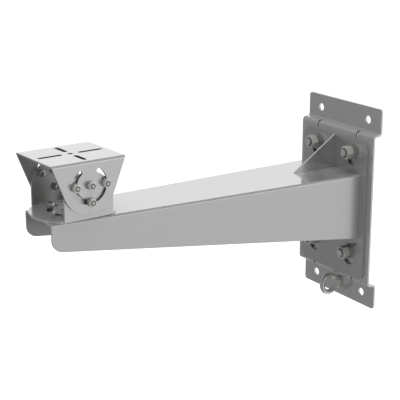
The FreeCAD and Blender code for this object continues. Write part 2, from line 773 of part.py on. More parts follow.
cradle_low = d.pivot_up - d.side_radius
cradle_fold = new_body("CradleFold")
fold = new_sketch(cradle_fold, "XZ_Plane")
under_top = d.cradle_top - d.cradle_gauge
add_outline(fold, [
    (-cradle_half, cradle_low), (-cradle_inner, cradle_low), (-cradle_inner, under_top),
    (cradle_inner, under_top), (cradle_inner, cradle_low), (cradle_half, cradle_low),
    (cradle_half, d.cradle_top), (-cradle_half, d.cradle_top),
])
pad(cradle_fold, fold, d.cradle_length, midplane=True)
round_edges(cradle_fold, d.cradle_bend, along_y, lambda c: near(c.z, under_top))
round_edges(cradle_fold, d.cradle_bend + d.cradle_gauge, along_y, lambda c: near(c.z, d.cradle_top))
camera_hole = new_sketch(cradle_fold, "XY_Plane")
add_circle(camera_hole, zero, zero, d.camera_hole)
slot_end = d.camera_slot / 2
slot_x_far = cradle_half - d.slot_x_edge
slot_y_far = d.cradle_length / 2 - d.slot_y_edge
for near_end, far_end, along in ((d.slot_x_near, slot_x_far, "x"), (d.slot_y_near, slot_y_far, "y")):
    for start in (near_end + slot_end, -(far_end - slot_end)):
        x, y = (start, zero) if along == "x" else (zero, start)
        add_slot(camera_hole, x, y, far_end - near_end - d.camera_slot, d.camera_slot, along)
cut_through(cradle_fold, camera_hole)

# Side outline: from the top's ends, tangent to the circle about the tilt axis
corner_y = d.cradle_length / 2
corner_z = d.cradle_top - d.pivot_up
reach_2 = corner_y * corner_y + corner_z * corner_z
tangent = root(reach_2 - d.side_radius * d.side_radius)
touch_y = d.side_radius * (d.side_radius * corner_y + tangent * corner_z) / reach_2
touch_z = d.side_radius * (d.side_radius * corner_z - tangent * corner_y) / reach_2
side_wedge = new_body("SideWedge")
wedge = new_sketch(side_wedge, "YZ_Plane")
add_outline(wedge, [
    (-corner_y, d.cradle_top), (-touch_y, d.pivot_up + touch_z),
    (touch_y, d.pivot_up + touch_z), (corner_y, d.cradle_top),
])
pad(side_wedge, wedge, 2 * cradle_half, midplane=True)
side_disc = rod(2 * d.side_radius, 2 * cradle_half, -cradle_half, 0, d.pivot_up, right)
cradle_blank = common(cradle_fold, fuse([side_wedge, side_disc]))

tilt_end = d.tilt_limit + d.tilt_spare
slot_cutter = arc_slot(d.tilt_circle, d.screw_dia + 2 * d.slot_room,
                       180 - tilt_end, 180 + 2 * tilt_end, 2 * cradle_half)
# The cutter is drawn flat; one turn stands it up so that it runs from side to side.
standing = doc.addObject("Part::Compound", "StandingSlot")
standing.Links = [slot_cutter]
standing.Placement = Placement(Vector(-cradle_half.value, 0, d.pivot_up.value),
                               on_edge)
bind(standing, "Placement.Base.x", -cradle_half)
bind(standing, "Placement.Base.z", d.pivot_up)
pivot_cutter = rod(d.screw_dia + 2 * d.pivot_fit, 2 * cradle_half, -cradle_half, 0, d.pivot_up, right)
cradle = cut(cradle_blank, [standing, pivot_cutter])
finish(place_head(cradle), "cradle")

# Check every object, then write one file for each piece

doc.recompute()
for obj in doc.Objects:
    if "Invalid" in obj.State or "Error" in obj.State:
        raise ValueError("%s failed: %s" % (obj.Name, obj.State))
os.makedirs("parts", exist_ok=True)
for piece in parts:
    shape = piece.Shape
    if shape.isNull() or not shape.isValid() or not shape.Solids:
        raise ValueError("%s has no valid solid" % piece.Label)
for piece in parts:
    piece.Shape.exportStep(os.path.join("parts", piece.Label + ".step"))
    box = piece.Shape.BoundBox
    print("%-20s %2d solids %10.1f mm3  X %7.1f %7.1f  Y %7.1f %7.1f  Z %7.1f %7.1f" % (
        piece.Label, len(piece.Shape.Solids), piece.Shape.Volume,
        box.XMin, box.XMax, box.YMin, box.YMax, box.ZMin, box.ZMax))
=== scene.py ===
import math
import bmesh
import bpy
from mathutils import Euler, Matrix, Vector
from mathutils.bvhtree import BVHTree


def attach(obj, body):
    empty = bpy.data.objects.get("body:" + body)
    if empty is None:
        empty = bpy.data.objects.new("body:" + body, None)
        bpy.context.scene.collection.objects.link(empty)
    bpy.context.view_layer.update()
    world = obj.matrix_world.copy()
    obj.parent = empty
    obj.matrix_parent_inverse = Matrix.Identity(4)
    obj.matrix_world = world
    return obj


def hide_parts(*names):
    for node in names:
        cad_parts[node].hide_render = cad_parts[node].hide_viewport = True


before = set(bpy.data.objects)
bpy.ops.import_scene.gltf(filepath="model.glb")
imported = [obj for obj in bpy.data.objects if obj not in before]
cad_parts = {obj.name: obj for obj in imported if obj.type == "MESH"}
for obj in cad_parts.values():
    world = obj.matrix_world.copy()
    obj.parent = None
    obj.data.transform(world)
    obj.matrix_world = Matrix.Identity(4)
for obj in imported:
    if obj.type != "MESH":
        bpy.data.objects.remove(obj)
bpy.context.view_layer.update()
scene = bpy.context.scene
print("frame loaded")

mm = 0.001
headTurn = math.radians(3.12)     # the head is panned this much in the photograph
panReach = -466.4                 # the pan axis, in mm from the wall
armTop = 55
panAxis = Vector((0, panReach, armTop)) * mm
headPlace = Matrix.Translation(panAxis) @ Matrix.Rotation(headTurn, 4, "Z")


# camera, light and floor
view = {
    "place": (1.3299, -1.1122, 0.4986),
    "turn": (73.76, 0, 57.46),
    "lens": 103.34,
    "sensor": 36,
    "reach": 50,
}
cameraData = bpy.data.cameras.new("photoCamera")
cameraData.lens = view["lens"]
cameraData.sensor_width = view["sensor"]
cameraData.clip_end = view["reach"]
camera = bpy.data.objects.new("photoCamera", cameraData)
camera.location = view["place"]
camera.rotation_euler = [math.radians(a) for a in view["turn"]]
scene.collection.objects.link(camera)
scene.camera = camera
scene.view_settings.view_transform = "Standard"

studio = {
    "dim": 0.26,                 # what faces mirror that look away from the backdrop
    "backdrop": 1.0,             # the white sweep behind the bracket, from the horizon up
    "sweepBelow": 0.72,          # the same sweep under the horizon
    "behind": (-0.15, 0.35),     # a direction's Y where the sweep starts and where it is full
    "horizon": (-0.12, 0.06),    # its Z from under the horizon to over it
    "ceiling": (0.42, 0.52),     # over this it is dim again, and so the outer bends mirror a dark line
    "room": 0.15,                # what lights the sheets' own colour from all round
}
floorSettings = {"drop": 0.46, "half": 12, "colour": (0.85, 0.85, 0.85, 1), "glow": 0.89}
lampAbove = {"place": (0.2, -0.3, 2.2), "target": (0, -0.25, 0), "size": 2.4, "power": 45}


def addNode(tree, kind, **values):
    node = tree.nodes.new(kind)
    for key, value in values.items():
        setattr(node, key, value)
    return node


def smoothStep(tree, value, limits, start=0.0, end=1.0):
    step = addNode(tree, "ShaderNodeMapRange", interpolation_type="SMOOTHSTEP")
    step.inputs["From Min"].default_value = limits[0]
    step.inputs["From Max"].default_value = limits[1]
    step.inputs["To Min"].default_value = start
    step.inputs["To Max"].default_value = end
    tree.links.new(value, step.inputs["Value"])
    return step.outputs[0]


def combine(tree, operation, first, second):
    node = addNode(tree, "ShaderNodeMath", operation=operation)
    for socket, value in zip(node.inputs, (first, second)):
        if isinstance(value, (int, float)):
            socket.default_value = value
        else:
            tree.links.new(value, socket)
    return node.outputs[0]


def buildWorld():
    world = bpy.data.worlds.new("studio")
    scene.world = world
    world.use_nodes = True
    tree = world.node_tree
    tree.nodes.clear()
    link = tree.links.new
    coords = addNode(tree, "ShaderNodeTexCoord")
    split = addNode(tree, "ShaderNodeSeparateXYZ")
    link(coords.outputs["Generated"], split.inputs[0])
    behind = smoothStep(tree, split.outputs["Y"], studio["behind"])
    overHorizon = smoothStep(tree, split.outputs["Z"], studio["horizon"])
    underCeiling = smoothStep(tree, split.outputs["Z"], studio["ceiling"], 1.0, 0.0)
    sweep = combine(tree, "MULTIPLY", behind, combine(tree, "MULTIPLY", overHorizon, underCeiling))
    underHorizon = combine(tree, "SUBTRACT", 1.0, overHorizon)
    low = combine(tree, "MULTIPLY", combine(tree, "MULTIPLY", behind, underHorizon),
                  (studio["sweepBelow"] - studio["dim"]) / (studio["backdrop"] - studio["dim"]))
    share = combine(tree, "ADD", sweep, low)
    mirrored = addNode(tree, "ShaderNodeMapRange")
    mirrored.inputs["To Min"].default_value = studio["dim"]
    mirrored.inputs["To Max"].default_value = studio["backdrop"]
    link(share, mirrored.inputs["Value"])
    path = addNode(tree, "ShaderNodeLightPath")     # the camera and glass see plain white, metal the sweep
    glossySees = combine(tree, "MULTIPLY", path.outputs["Is Glossy Ray"], mirrored.outputs[0])
    direct = combine(tree, "MAXIMUM", path.outputs["Is Camera Ray"], path.outputs["Is Transmission Ray"])
    lit = combine(tree, "MULTIPLY", path.outputs["Is Diffuse Ray"], studio["room"])
    level = combine(tree, "MAXIMUM", combine(tree, "MAXIMUM", direct, glossySees), lit)
    background = addNode(tree, "ShaderNodeBackground")
    link(level, background.inputs["Color"])
    out = addNode(tree, "ShaderNodeOutputWorld")
    link(background.outputs[0], out.inputs[0])


def buildFloor():
    mesh = bpy.data.meshes.new("floor")
    half = floorSettings["half"]
    corners = [(-half, -half), (half, -half), (half, half), (-half, half)]
    mesh.from_pydata([(x, y, -floorSettings["drop"]) for x, y in corners], [], [(0, 1, 2, 3)])
    floor = bpy.data.objects.new("floor", mesh)
    scene.collection.objects.link(floor)
    material = bpy.data.materials.new("floorWhite")
    material.use_nodes = True
    tree = material.node_tree
    tree.nodes.clear()
    diffuse = addNode(tree, "ShaderNodeBsdfDiffuse")
    diffuse.inputs["Color"].default_value = floorSettings["colour"]
    glow = addNode(tree, "ShaderNodeEmission")
    path = addNode(tree, "ShaderNodeLightPath")     # only the camera sees the floor glow
    lift = combine(tree, "MULTIPLY", path.outputs["Is Camera Ray"], floorSettings["glow"])
    tree.links.new(lift, glow.inputs["Strength"])
    both = addNode(tree, "ShaderNodeAddShader")
    tree.links.new(diffuse.outputs[0], both.inputs[0])
    tree.links.new(glow.outputs[0], both.inputs[1])
    out = addNode(tree, "ShaderNodeOutputMaterial")
    tree.links.new(both.outputs[0], out.inputs[0])
    mesh.materials.append(material)
    floor.visible_glossy = False      # the sheet mirrors the studio, not the floor's edge


def addLamp(name, settings):
    data = bpy.data.lights.new(name, "AREA")
    data.shape = "DISK"
    data.size = settings["size"]
    data.energy = settings["power"]
    lamp = bpy.data.objects.new(name, data)
    lamp.location = settings["place"]
    aim = Vector(settings["target"]) - Vector(settings["place"])
    lamp.rotation_euler = aim.to_track_quat("-Z", "Y").to_euler()
    lamp.visible_glossy = False       # it lights the metal without a mirror image of itself
    scene.collection.objects.link(lamp)


buildWorld()
buildFloor()
addLamp("lampAbove", lampAbove)
print("studio ready")


# finishes: every metal is one rolled finish with its own settings; some of them are darker copies that paint
# shade
rolling = {"lineScale": 1400, "lineDetail": 3, "cloudDetail": 2, "bumpDepth": 0.2 * mm}


def groupSocket(group, name, side, kind, value=None):
    socket = group.interface.new_socket(name=name, in_out=side, socket_type=kind)
    if value is not None:
        socket.default_value = value
    return socket


def buildRolledFinish():
    # rolled sheet: fine lines along the roll, slow cloudiness and a little colour change
    group = bpy.data.node_groups.new("rolledFinish", "ShaderNodeTree")
    groupSocket(group, "Vector", "INPUT", "NodeSocketVector")
    groupSocket(group, "Colour", "INPUT", "NodeSocketColor", (0.7, 0.7, 0.7, 1))
    groupSocket(group, "Roughness", "INPUT", "NodeSocketFloat", 0.22)
    groupSocket(group, "Line Stretch", "INPUT", "NodeSocketVector", (1.0, 0.05, 1.0))
    groupSocket(group, "Line Strength", "INPUT", "NodeSocketFloat", 0.05)
    groupSocket(group, "Cloud Size", "INPUT", "NodeSocketFloat", 14.0)
    groupSocket(group, "Cloud Strength", "INPUT", "NodeSocketFloat", 0.06)
    groupSocket(group, "Colour", "OUTPUT", "NodeSocketColor")
    groupSocket(group, "Roughness", "OUTPUT", "NodeSocketFloat")
    groupSocket(group, "Height", "OUTPUT", "NodeSocketFloat")
    link = group.links.new
    source = group.nodes.new("NodeGroupInput")
    result = group.nodes.new("NodeGroupOutput")
    stretch = addNode(group, "ShaderNodeVectorMath", operation="MULTIPLY")
    link(source.outputs["Vector"], stretch.inputs[0])
    link(source.outputs["Line Stretch"], stretch.inputs[1])
    lines = addNode(group, "ShaderNodeTexNoise")
    lines.inputs["Scale"].default_value = rolling["lineScale"]
    lines.inputs["Detail"].default_value = rolling["lineDetail"]
    link(stretch.outputs[0], lines.inputs["Vector"])
    clouds = addNode(group, "ShaderNodeTexNoise")
    clouds.inputs["Detail"].default_value = rolling["cloudDetail"]
    link(source.outputs["Vector"], clouds.inputs["Vector"])
    link(source.outputs["Cloud Size"], clouds.inputs["Scale"])

    def vary(middle, noise, strength):
        # middle + (noise - 0.5) * strength
        centred = combine(group, "SUBTRACT", noise, 0.5)
        return combine(group, "ADD", combine(group, "MULTIPLY", centred, strength), middle)

    lineShade = vary(1.0, lines.outputs["Fac"], source.outputs["Line Strength"])
    cloudShade = vary(1.0, clouds.outputs["Fac"], source.outputs["Cloud Strength"])
    tint = addNode(group, "ShaderNodeVectorMath", operation="SCALE")
    link(source.outputs["Colour"], tint.inputs[0])
    link(combine(group, "MULTIPLY", lineShade, cloudShade), tint.inputs["Scale"])
    link(tint.outputs[0], result.inputs["Colour"])
    lineRough = vary(source.outputs["Roughness"], lines.outputs["Fac"], source.outputs["Line Strength"])
    cloudRough = vary(lineRough, clouds.outputs["Fac"], source.outputs["Cloud Strength"])
    link(cloudRough, result.inputs["Roughness"])
    link(lines.outputs["Fac"], result.inputs["Height"])
    return group


rolledFinish = buildRolledFinish()

# how far the lines are drawn out: a small share along their own direction
alongArm = (1.0, 0.04, 1.0)
upright = (1.0, 1.0, 0.04)
acrossHead = (0.05, 1.0, 1.0)
everyWay = (1.0, 1.0, 1.0)

# sheetSteel is the arm's sides and smoothSteel its top, insideShadeSteel paints shade on faces that look
# inwards, shadedSteel the same shade darker still inside the arm, and slotShade paints near-black shade on
# the walls of narrow slots
finishesAndShades = {
    "sheetSteel": {"colour": (0.69, 0.69, 0.685, 1), "roughness": 0.30, "metallic": 0.66, "bump": 0.008,
                   "stretch": alongArm, "lines": 0.03, "clouds": 0.03, "cloudSize": 9.0},
    "smoothSteel": {"colour": (0.66, 0.66, 0.655, 1), "roughness": 0.09, "metallic": 0.72, "bump": 0.004,
                    "stretch": alongArm, "lines": 0.03, "clouds": 0.03, "cloudSize": 9.0},
    "plateSteel": {"colour": (0.72, 0.72, 0.715, 1), "roughness": 0.13, "metallic": 0.70, "bump": 0.008,
                   "stretch": upright, "lines": 0.03, "clouds": 0.04, "cloudSize": 11.0},
    # painted shade: a darker copy of plateSteel for the flange, its edges and the gusset, where the arm and
    # gusset shade them
    "shadedFlangeSteel": {"colour": (0.6, 0.6, 0.595, 1), "roughness": 0.17, "metallic": 0.82, "bump": 0.008,
                    "stretch": upright, "lines": 0.03, "clouds": 0.04, "cloudSize": 11.0},
    "headSteel": {"colour": (0.75, 0.75, 0.745, 1), "roughness": 0.22, "metallic": 0.66, "bump": 0.008,
                  "stretch": acrossHead, "lines": 0.03, "clouds": 0.03, "cloudSize": 16.0},
    "cutEdge": {"colour": (0.86, 0.86, 0.85, 1), "roughness": 0.48, "metallic": 0.65, "bump": 0.05,
                "stretch": everyWay, "lines": 0.08, "clouds": 0.08, "cloudSize": 150.0},
    # painted shade: the cradle's cut edges darker, for the shadow line under its round edge
    "shadedHeadEdge": {"colour": (0.5, 0.5, 0.495, 1), "roughness": 0.40, "metallic": 0.65, "bump": 0.05,
                 "stretch": everyWay, "lines": 0.08, "clouds": 0.08, "cloudSize": 150.0},
    # painted shade: darker copies for faces that look at their own part, the second darker still inside the
    # arm
    "insideShadeSteel": {"colour": (0.49, 0.49, 0.485, 1), "roughness": 0.30, "metallic": 0.66, "bump": 0.004,
                    "stretch": alongArm, "lines": 0.02, "clouds": 0.04, "cloudSize": 12.0},
    "shadedSteel": {"colour": (0.33, 0.33, 0.325, 1), "roughness": 0.30, "metallic": 0.66, "bump": 0.004,
                    "stretch": alongArm, "lines": 0.02, "clouds": 0.04, "cloudSize": 12.0},
    # painted shade: the walls of narrow slots near-black, for the dark seen down slots and slits
    "slotShade": {"colour": (0.2, 0.195, 0.19, 1), "roughness": 0.50, "metallic": 0.70, "bump": 0.05,
                "stretch": everyWay, "lines": 0.1, "clouds": 0.1, "cloudSize": 150.0},
    "fastenerSteel": {"colour": (0.85, 0.84, 0.825, 1), "roughness": 0.22, "metallic": 0.66, "bump": 0.05,
                      "stretch": everyWay, "lines": 0.1, "clouds": 0.1, "cloudSize": 120.0},
    # painted shade: washers and the socket bolts darker than the nuts, for the shade round and behind the
    # nuts
    "shadedFastenerSteel": {"colour": (0.56, 0.555, 0.545, 1), "roughness": 0.20, "metallic": 0.85, "bump": 0.03,
                    "stretch": everyWay, "lines": 0.06, "clouds": 0.08, "cloudSize": 120.0},
    # painted shade: threads, nut bores and countersinks darker, for the shade in them
    "threadShadeSteel": {"colour": (0.38, 0.375, 0.37, 1), "roughness": 0.45, "metallic": 0.70, "bump": 0.05,
                    "stretch": everyWay, "lines": 0.1, "clouds": 0.1, "cloudSize": 120.0},
    "forgedSteel": {"colour": (0.76, 0.75, 0.73, 1), "roughness": 0.22, "metallic": 0.85, "bump": 0.1,
                    "stretch": (0.6, 0.6, 0.6), "lines": 0.1, "clouds": 0.12, "cloudSize": 90.0},
}


def buildMetal(name):
    finish = finishesAndShades[name]
    material = bpy.data.materials.new(name)
    material.use_nodes = True
    tree = material.node_tree
    tree.nodes.clear()
    link = tree.links.new
    coords = addNode(tree, "ShaderNodeTexCoord")
    rolled = addNode(tree, "ShaderNodeGroup", node_tree=rolledFinish)
    rolled.inputs["Colour"].default_value = finish["colour"]
    rolled.inputs["Roughness"].default_value = finish["roughness"]
    rolled.inputs["Line Stretch"].default_value = finish["stretch"]
    rolled.inputs["Line Strength"].default_value = finish["lines"]
    rolled.inputs["Cloud Size"].default_value = finish["cloudSize"]
    rolled.inputs["Cloud Strength"].default_value = finish["clouds"]
    link(coords.outputs["Object"], rolled.inputs["Vector"])
    bump = addNode(tree, "ShaderNodeBump")
    bump.inputs["Strength"].default_value = finish["bump"]
    bump.inputs["Distance"].default_value = rolling["bumpDepth"]
    link(rolled.outputs["Height"], bump.inputs["Height"])
    shader = addNode(tree, "ShaderNodeBsdfPrincipled")
    shader.inputs["Metallic"].default_value = finish["metallic"]
    link(rolled.outputs["Colour"], shader.inputs["Base Color"])
    link(rolled.outputs["Roughness"], shader.inputs["Roughness"])
    link(bump.outputs[0], shader.inputs["Normal"])
    out = addNode(tree, "ShaderNodeOutputMaterial")
    link(shader.outputs[0], out.inputs[0])
    return material


metals = {name: buildMetal(name) for name in finishesAndShades}
print("finishes ready")


# sheets: the folded plates with their cut edges broken. Gauge, edge and narrow are in mm. The rolled
# faces take metal, those that look at their own part take inner as painted shade, those that look up take
# top, and the cut ones take rim, or the painted near-black shade of slotShade where another cut face is
# nearer than narrow
sheets = {
    "wall_plate": {"body": "arm", "gauge": 3, "edge": 0.35, "narrow": 8,
                   "metal": "plateSteel", "rim": "cutEdge", "inner": "insideShadeSteel"},
    # painted shade: the flange's rim takes its darker metal, not cutEdge, so its edges stay dark as a
    # contact shadow
    "arm_flange": {"body": "arm", "gauge": 4, "edge": 0.40, "narrow": 22,
                   "metal": "shadedFlangeSteel", "rim": "shadedFlangeSteel", "inner": "shadedSteel"},
    "arm_channel": {"body": "arm", "gauge": 3, "edge": 0.35, "narrow": 9,
                    "metal": "sheetSteel", "rim": "cutEdge", "inner": "shadedSteel", "top": "smoothSteel"},
    # painted shade: the gusset takes the flange's darker metal for the shade between arm and flange
    "arm_gusset": {"body": "arm", "gauge": 3, "edge": 0.35, "narrow": 9,
                   "metal": "shadedFlangeSteel", "rim": "cutEdge", "inner": "shadedSteel"},
    "yoke": {"body": "yoke", "gauge": 3, "edge": 0.30, "narrow": 9,
             "metal": "headSteel", "rim": "cutEdge", "inner": "insideShadeSteel"},
    # painted shade: the cradle's rim takes the darker shadedHeadEdge
    "cradle": {"body": "cradle", "gauge": 3, "edge": 0.30, "narrow": 9,
               "metal": "headSteel", "rim": "shadedHeadEdge", "inner": "insideShadeSteel"},
}
dressing = {
    "inside": 130 * mm,     # an inner face looks at its own part from nearer than this
    "thin": 1.3,            # a rolled face has the other side within this many gauges
    "level": 0.99,          # the normal's Z of a face that looks up
    "start": 0.01 * mm,     # where a ray leaves its own face
    "merge": 0.002 * mm,
    "flat": math.radians(0.8),      # faces that bend less than this become one
    "corner": math.radians(50),     # edges that bend more than this are broken
    "rounds": 2,
}
rolledFace, cutFace, slotShadeFace, innerShadeFace, topFace = range(5)     # material slots of a sheet


def addWork(mesh):
    work = bpy.data.objects.new("work", mesh)
    scene.collection.objects.link(work)
    return work


def applyModifiers(work, name):
    # bake what the modifiers make into a plain mesh of its own
    bpy.context.view_layer.update()
    evaluated = work.evaluated_get(bpy.context.evaluated_depsgraph_get())
    mesh = bpy.data.meshes.new_from_object(evaluated)
    mesh.name = name
    piece = bpy.data.objects.new(name, mesh)
    scene.collection.objects.link(piece)
    old = work.data
    bpy.data.objects.remove(work)
    bpy.data.meshes.remove(old)
    return piece


def nearer(distance, limit):
    return distance is not None and distance < limit


def paintFaces(bm, settings):
    solid = BVHTree.FromBMesh(bm)
    for face in bm.faces:
        face.smooth = True
        middle = face.calc_center_median()
        step = face.normal * dressing["start"]
        through = solid.ray_cast(middle - step, -face.normal)[3]
        across = solid.ray_cast(middle + step, face.normal)[3]
        if nearer(through, dressing["thin"] * settings["gauge"] * mm):
            outer = topFace if face.normal.z > dressing["level"] else rolledFace
            # faces that look at their own part take the inner metal, which paints shade
            face.material_index = innerShadeFace if nearer(across, dressing["inside"]) else outer
        else:
            # cut faces with another cut face nearer than narrow take slotShade, a painted near-black shade
            face.material_index = slotShadeFace if nearer(across, settings["narrow"] * mm) else cutFace


def dressSheet(node, settings):
    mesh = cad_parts[node].data.copy()
    mesh.materials.clear()
    top = settings.get("top", settings["metal"])
    for metal in (settings["metal"], settings["rim"], "slotShade", settings["inner"], top):
        mesh.materials.append(metals[metal])
    bm = bmesh.new()
    bm.from_mesh(mesh)
    bmesh.ops.remove_doubles(bm, verts=bm.verts, dist=dressing["merge"])
    bm.normal_update()
    paintFaces(bm, settings)
    bmesh.ops.dissolve_limit(bm, angle_limit=dressing["flat"], verts=bm.verts, edges=bm.edges,
                             delimit={"MATERIAL"})
    bm.to_mesh(mesh)
    bm.free()
    work = addWork(mesh)
    bevel = work.modifiers.new("brokenEdge", "BEVEL")
    bevel.width = settings["edge"] * mm
    bevel.segments = dressing["rounds"]
    bevel.limit_method = "ANGLE"
    bevel.angle_limit = dressing["corner"]
    bevel.miter_outer = "MITER_ARC"
    bevel.material = cutFace
    normals = work.modifiers.new("flatFaces", "WEIGHTED_NORMAL")
    normals.keep_sharp = True
    piece = applyModifiers(work, node + "Sheet")
    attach(piece, settings["body"])
    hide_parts(node)


for node, settings in sheets.items():
    dressSheet(node, settings)
print("sheets dressed")


# fasteners: one pattern each, set out by Geometry Nodes
# (all in mm, except the thread's depth, run-in and second chamfer value, which are shares of its pitch)
around = 72                           # points round every pattern
sharpFrom = math.radians(28)
chamferFrom = 0.95 / 2                # of the width across flats
chamferRise = math.tan(math.radians(30))
underHead = {"rise": 0.35, "inset": 0.5}
washerRound = {"flat": 0.2, "springInner": 0.15, "springOuter": 0.2}
socketEdge = {"lead": 0.3, "mouth": 0.5, "shoulder": 0.5, "break": 0.15, "under": 0.25}
thread = {"steps": 6, "depth": 0.60, "runIn": 0.5, "chamfer": (0.5, 0.3), "slope": 1.25, "crest": 0.12}


def finishPattern(bm, name):
    bmesh.ops.recalc_face_normals(bm, faces=bm.faces)
    for face in bm.faces:
        face.smooth = True
    mesh = bpy.data.meshes.new(name)
    bm.to_mesh(mesh)
    bm.free()
    mesh.set_sharp_from_angle(angle=sharpFrom)
    pattern = bpy.data.objects.new(name, mesh)
    scene.collection.objects.link(pattern)
    return pattern


def polar(radius, angle, height):
    return radius * math.cos(angle) * mm, radius * math.sin(angle) * mm, height * mm


def joinLoops(bm, first, last):
    count = len(first)
    return [bm.faces.new((first[i], first[(i + 1) % count], last[(i + 1) % count], last[i]))
            for i in range(count)]


def ringMesh(name, rings, closed, grooves=()):
    # rings are lists of (radius, height) all the way round; closed joins the last to the first,
    # and the strips that start at the rings in grooves are marked to take the darker threadShadeSteel,
    # painted shade
    bm = bmesh.new()
    groove = bm.faces.layers.bool.new("groove")
    loops = []
    for ring in rings:
        loops.append([bm.verts.new(polar(radius, 2 * math.pi * i / around, height))
                      for i, (radius, height) in enumerate(ring)])
    pairs = list(zip(loops, loops[1:]))
    if closed:
        pairs.append((loops[-1], loops[0]))
    for strip, (low, high) in enumerate(pairs):
        for face in joinLoops(bm, low, high):
            face[groove] = strip in grooves
    if not closed:
        bm.faces.new(list(reversed(loops[0])))
        bm.faces.new(loops[-1])
    return finishPattern(bm, name)


def roundRing(radius, height):
    return [(radius, height)] * around


def hexRing(flats, height):
    return [(flats / 2 / math.cos(math.radians((360.0 * i / around) % 60 - 30)), height)
            for i in range(around)]


def hexChamfer(flats, height, sign):
    # the ring where the 30 degree turned chamfer meets the six flats
    return [(radius, height + sign * chamferRise * (radius - chamferFrom * flats))
            for radius, _ in hexRing(flats, height)]


def threadRings(s):
    # a triangular thread that turns once a pitch, starts gently and runs out in the end chamfer
    pitch, low, high = s["pitch"], s["length"] - s["thread"], s["length"]
    chamfer = thread["chamfer"][0] + thread["chamfer"][1] * pitch
    rings = []
    count = int(round((high - low) / pitch * thread["steps"]))
    for k in range(count + 1):
        height = low + (high - low) * k / count
        depth = thread["depth"] * pitch * min(1.0, (height - low) / (thread["runIn"] * pitch))
        limit = s["size"] / 2 - max(0.0, height - (high - chamfer))
        ring = []
        for i in range(around):
            phase = ((height - low) / pitch - i / around) % 1.0
            flank = thread["slope"] * (1 - abs(2 * phase - 1)) - thread["crest"]
            radius = s["size"] / 2 - depth * max(0.0, min(1.0, flank))
            ring.append((min(radius, limit), height))
        rings.append(ring)
    return rings


def boltMesh(name, head, s):
    # the head's rings, then the thread, whose strips take the darker threadShadeSteel as painted shade
    rings = head + [roundRing(s["size"] / 2, 0)]
    start = len(rings)
    rings += threadRings(s)
    return ringMesh(name, rings, closed=False, grooves=range(start, len(rings)))


def hexBolt(name, s):
    flats, top = s["flats"], -s["head"]
    return boltMesh(name, [
        roundRing(chamferFrom * flats, top),
        hexChamfer(flats, top, 1),
        hexRing(flats, -underHead["rise"]),
        hexRing(flats - underHead["inset"], 0),
    ], s)


def socketBolt(name, s):
    rim, top, socket, edge = s["headSize"] / 2, -s["head"], s["socket"], socketEdge
    return boltMesh(name, [
        hexRing(socket, top + s["socketDepth"]),
        hexRing(socket, top + edge["lead"]),
        hexRing(socket + edge["mouth"], top),
        roundRing(rim - edge["shoulder"], top),
        roundRing(rim - edge["break"], top + edge["break"]),
        roundRing(rim, top + edge["shoulder"]),
        roundRing(rim, -edge["under"]),
        roundRing(rim - edge["under"], 0),
    ], s)


def hexNut(name, s):
    bore, sink, flats, high = s["bore"] / 2, s["sink"], s["flats"], s["height"]
    rings = [
        roundRing(bore, sink),
        roundRing(bore + sink, 0),
        roundRing(chamferFrom * flats, 0),
        hexChamfer(flats, 0, 1),
        hexChamfer(flats, high, -1),
        roundRing(chamferFrom * flats, high),
        roundRing(bore + sink, high),
        roundRing(bore, high - sink),
    ]
    # the bore and its two countersinks take painted shade
    return ringMesh(name, rings, closed=True, grooves=(0, 6, 7))      # the bore and its two countersinks


def flatWasher(name, s):
    bore, rim, high, r = s["bore"] / 2, s["rim"] / 2, s["height"], washerRound["flat"]
    profile = [(bore, r), (bore + r, 0), (rim - r, 0), (rim, r),
               (rim, high - r), (rim - r, high), (bore + r, high), (bore, high - r)]
    return ringMesh(name, [roundRing(*point) for point in profile], closed=True)


def springWasher(name, s):
    # a ring of square wire, cut through on a slant
    bore, rim, high, half = s["bore"] / 2, s["rim"] / 2, s["height"], s["gap"] / 2
    inner, outer = washerRound["springInner"], washerRound["springOuter"]
    corners = [(bore, inner), (bore + inner, 0), (rim - outer, 0), (rim, outer),
               (rim, high - outer), (rim - outer, high), (bore + inner, high), (bore, high - inner)]
    bm = bmesh.new()
    sections = []
    for i in range(around + 1):
        section = []
        for radius, height in corners:
            slant = s["slant"] * (height / high - 0.5)
            angle = math.radians(half + (360 - 2 * half) * i / around + slant)
            section.append(bm.verts.new(polar(radius, angle, height)))
        sections.append(section)
    for first, last in zip(sections, sections[1:]):
        joinLoops(bm, first, last)
    bm.faces.new(list(reversed(sections[0])))
    bm.faces.new(sections[-1])
    return finishPattern(bm, name)


